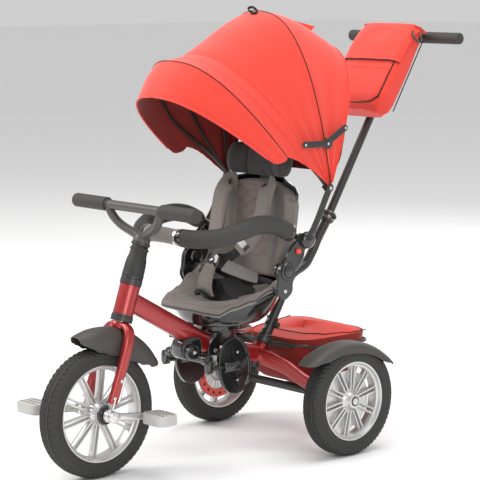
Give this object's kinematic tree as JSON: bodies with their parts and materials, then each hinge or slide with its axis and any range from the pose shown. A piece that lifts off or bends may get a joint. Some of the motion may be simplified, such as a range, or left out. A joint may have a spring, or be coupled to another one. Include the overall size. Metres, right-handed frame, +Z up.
{
  "type": "children's tricycle",
  "caption": "Push-along children's tricycle with a folding hood, swivel seat, padded guard bar, pedals, rear basket, storage bag and a telescoping push handle.",
  "frame": {"origin": "on the floor under the middle of the bounding box", "axes": "-Y forward (front wheel), +X the rider's left, +Z up"},
  "size_m": [0.512, 1.1146, 0.9929],
  "materials": {
    "frame_red": "gloss candy red paint",
    "dark_grey": "warm dark grey moulding",
    "bar_grey": "warm dark grey powder coat",
    "black_gloss": "gloss black moulding",
    "black_paint": "satin black paint",
    "silver": "silver paint",
    "steel": "bright zinc",
    "tyre_black": "matt foam rubber",
    "grip_black": "soft ribbed rubber",
    "pedal_grey": "light grey moulding",
    "red_plastic": "bright red moulding",
    "coral_cloth": "coral red woven polyester",
    "taupe_cloth": "warm taupe quilted fabric",
    "charcoal_cloth": "charcoal padded fabric",
    "foam": "dark grey foam sleeve"
  },
  "bodies": {
    "frame": {"main_tube": "frame_red", "rear_beam": "frame_red", "head_caps": "black_gloss", "seat_post": "black_gloss", "push_stem": "black_paint", "footrest_bar": "black_gloss", "rear_axle": "steel", "rear_fender_left": "dark_grey", "rear_fender_right": "dark_grey", "basket_frame": "black_paint", "basket": "coral_cloth", "basket_lid": "coral_cloth", "frame_bolts": "steel", "push_tube_lower": "black_paint"},
    "foot_plate_left": {"footrest_left": "black_gloss"},
    "foot_plate_right": {"footrest_right": "black_gloss"},
    "steering": {"fork": "frame_red", "front_fender": "dark_grey", "steering_sleeve": "black_gloss", "handlebar": "bar_grey", "grip_left": "grip_black", "grip_right": "grip_black"},
    "front_wheel": {"front_tyre": "tyre_black", "front_rim": "silver"},
    "clutch": {"clutch_knob": "black_gloss"},
    "cranks": {"crank": "steel"},
    "pedal_l": {"pedal_left": "pedal_grey"},
    "pedal_r": {"pedal_right": "pedal_grey"},
    "rear_wheel_left": {"rear_tyre_left": "tyre_black", "rear_rim_left": "silver", "brake_ring_left": "red_plastic"},
    "rear_wheel_right": {"rear_tyre_right": "tyre_black", "rear_rim_right": "silver", "brake_ring_right": "red_plastic"},
    "brake": {"brake_pedal": "black_gloss"},
    "seat": {"seat_shell": "black_gloss", "seat_cushion": "taupe_cloth", "seat_arm_left": "black_gloss", "seat_arm_right": "black_gloss", "harness_buckle": "black_gloss", "hood_stems": "black_gloss", "hood_cloth": "coral_cloth"},
    "lever": {"swivel_lever": "black_gloss"},
    "back": {"back_shell": "black_gloss", "back_pad": "taupe_cloth", "shoulder_straps": "taupe_cloth"},
    "head_rest": {"headrest": "charcoal_cloth"},
    "guard": {"guard_bar": "black_paint", "guard_foam": "foam"},
    "button_left": {"guard_button_left": "red_plastic"},
    "button_right": {"guard_button_right": "red_plastic"},
    "hood_middle": {"hood_bow_middle": "bar_grey"},
    "hood_front": {"hood_bow_front": "bar_grey"},
    "hood_visor": {"hood_bow_visor": "bar_grey"},
    "links_rear": {"hood_links_rear": "dark_grey"},
    "links_front": {"hood_links_front": "dark_grey"},
    "push_upper": {"push_tube_upper": "black_paint", "bag": "coral_cloth"},
    "flap": {"bag_flap": "coral_cloth"},
    "latch": {"push_latch": "red_plastic"}
  },
  "joints": [
    {"name": "foot_plate_left_fold", "type": "hinge", "parent": "frame", "child": "foot_plate_left", "pos_m": [0.075, -0.11532, 0.212], "axis": [0, 1, 0], "range_deg": [0, 90]},
    {"name": "foot_plate_right_fold", "type": "hinge", "parent": "frame", "child": "foot_plate_right", "pos_m": [-0.075, -0.11532, 0.212], "axis": [0, -1, 0], "range_deg": [0, 90]},
    {"name": "steering_turn", "type": "hinge", "parent": "frame", "child": "steering", "pos_m": [0, -0.41232, 0.142], "axis": [0, 0.3256, 0.9455], "range_deg": [-30, 30]},
    {"name": "front_wheel_turn", "type": "hinge", "parent": "steering", "child": "front_wheel", "pos_m": [0, -0.41532, 0.142], "axis": [1, 0, 0], "continuous": true},
    {"name": "clutch_press", "type": "slide", "parent": "front_wheel", "child": "clutch", "axis": [1, 0, 0], "range_m": [0, 0.004]},
    {"name": "crank_turn", "type": "hinge", "parent": "steering", "child": "cranks", "pos_m": [0, -0.41532, 0.142], "axis": [1, 0, 0], "continuous": true},
    {"name": "pedal_l_turn", "type": "hinge", "parent": "cranks", "child": "pedal_l", "pos_m": [0.062, -0.32283, 0.13228], "axis": [1, 0, 0], "continuous": true},
    {"name": "pedal_r_turn", "type": "hinge", "parent": "cranks", "child": "pedal_r", "pos_m": [-0.062, -0.50782, 0.15172], "axis": [1, 0, 0], "continuous": true},
    {"name": "rear_wheel_left_turn", "type": "hinge", "parent": "frame", "child": "rear_wheel_left", "pos_m": [0.225, 0.12968, 0.126], "axis": [1, 0, 0], "continuous": true},
    {"name": "rear_wheel_right_turn", "type": "hinge", "parent": "frame", "child": "rear_wheel_right", "pos_m": [-0.225, 0.12968, 0.126], "axis": [1, 0, 0], "continuous": true},
    {"name": "brake_press", "type": "hinge", "parent": "frame", "child": "brake", "pos_m": [0, 0.12968, 0.126], "axis": [1, 0, 0], "range_deg": [-12, 0]},
    {"name": "seat_swivel", "type": "hinge", "parent": "frame", "child": "seat", "pos_m": [0, -0.06333, 0.29], "axis": [0, 0, 1], "range_deg": [0, 75]},
    {"name": "swivel_lever_lift", "type": "hinge", "parent": "frame", "child": "lever", "pos_m": [0, -0.00133, 0.268], "axis": [1, 0, 0], "range_deg": [0, 12]},
    {"name": "back_recline", "type": "hinge", "parent": "seat", "child": "back", "pos_m": [0, -0.00532, 0.428], "axis": [-1, 0, 0], "range_deg": [0, 10], "deforming": ["shoulder_straps"]},
    {"name": "headrest_raise", "type": "slide", "parent": "back", "child": "head_rest", "axis": [0, 0.1392, 0.9903], "range_m": [0, 0.04]},
    {"name": "guard_lift", "type": "hinge", "parent": "seat", "child": "guard", "pos_m": [0, 0.05167, 0.494], "axis": [-1, 0, 0], "range_deg": [0, 30]},
    {"name": "guard_button_left_press", "type": "slide", "parent": "seat", "child": "button_left", "axis": [-1, 0, 0], "range_m": [0, 0.002]},
    {"name": "guard_button_right_press", "type": "slide", "parent": "seat", "child": "button_right", "axis": [1, 0, 0], "range_m": [0, 0.002]},
    {"name": "hood_fold", "type": "hinge", "parent": "seat", "child": "hood_middle", "pos_m": [0, 0.11668, 0.607], "axis": [-1, 0, 0], "range_deg": [0, 20], "deforming": ["hood_cloth"]},
    {"name": "hood_front_fold", "type": "hinge", "parent": "hood_middle", "child": "hood_front", "pos_m": [0, 0.11668, 0.607], "axis": [-1, 0, 0], "range_deg": [0, 30]},
    {"name": "hood_visor_fold", "type": "hinge", "parent": "hood_front", "child": "hood_visor", "pos_m": [0, 0.11668, 0.607], "axis": [-1, 0, 0], "range_deg": [0, 6]},
    {"name": "hood_link_rear_turn", "type": "hinge", "parent": "seat", "child": "links_rear", "pos_m": [0, 0.15068, 0.741], "axis": [1, 0, 0], "range_deg": [0, 53.7]},
    {"name": "hood_link_elbow", "type": "hinge", "parent": "links_rear", "child": "links_front", "pos_m": [0, 0.09267, 0.709], "axis": [-1, 0, 0], "range_deg": [0, 137.2]},
    {"name": "push_telescope", "type": "slide", "parent": "frame", "child": "push_upper", "axis": [0, -0.5238, -0.8519], "range_m": [0, 0.045]},
    {"name": "bag_flap_lift", "type": "hinge", "parent": "push_upper", "child": "flap", "pos_m": [0, 0.53093, 0.94373], "axis": [-1, 0, 0], "range_deg": [0, 100]},
    {"name": "push_latch_press", "type": "slide", "parent": "frame", "child": "latch", "axis": [-1, 0, 0], "range_m": [0, 0.002]}
  ],
  "couplings": [
    {"joint": "crank_turn", "follows": "front_wheel_turn", "ratio": 1},
    {"joint": "hood_front_fold", "follows": "hood_fold", "ratio": 1.5},
    {"joint": "hood_visor_fold", "follows": "hood_fold", "ratio": 0.3},
    {"joint": "hood_link_rear_turn", "follows": "hood_fold", "ratio": 2.685},
    {"joint": "hood_link_elbow", "follows": "hood_fold", "ratio": 6.86}
  ]
}
